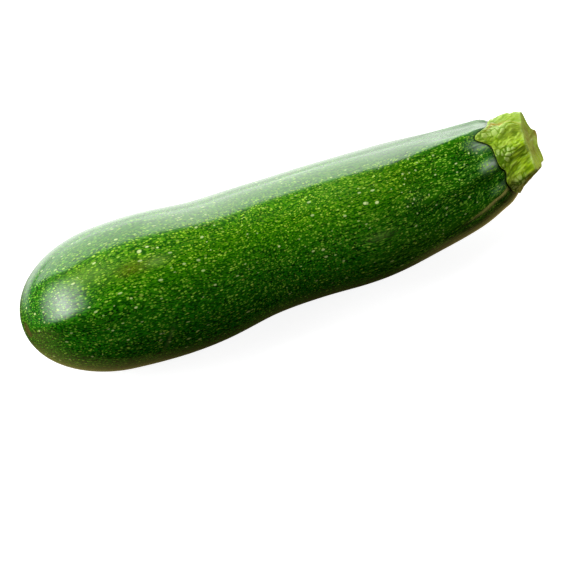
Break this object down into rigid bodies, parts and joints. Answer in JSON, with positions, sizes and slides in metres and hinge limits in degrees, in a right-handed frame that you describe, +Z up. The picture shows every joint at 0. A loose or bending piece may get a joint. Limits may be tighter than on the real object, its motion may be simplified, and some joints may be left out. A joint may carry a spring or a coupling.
{
  "type": "courgette",
  "caption": "Whole dark-green courgette lying on its side, with a fat rounded blossom end, a slightly bowed body and a short ridged cut stem.",
  "frame": {"origin": "centre of the bounding box's bottom face, on the surface it lies on", "axes": "+X along the courgette from the blossom end to the stem, +Y to the left of that, +Z up"},
  "size_m": [0.1924, 0.0502, 0.0495],
  "materials": {
    "green_skin": "waxy dark green skin with dense fine light green flecks, satin shine",
    "stem_flesh": "pale yellow-green ridged stem, dull, with brown-tipped edges"
  },
  "bodies": {
    "root": {"fruit": "green_skin", "stem": "stem_flesh"}
  },
  "joints": []
}
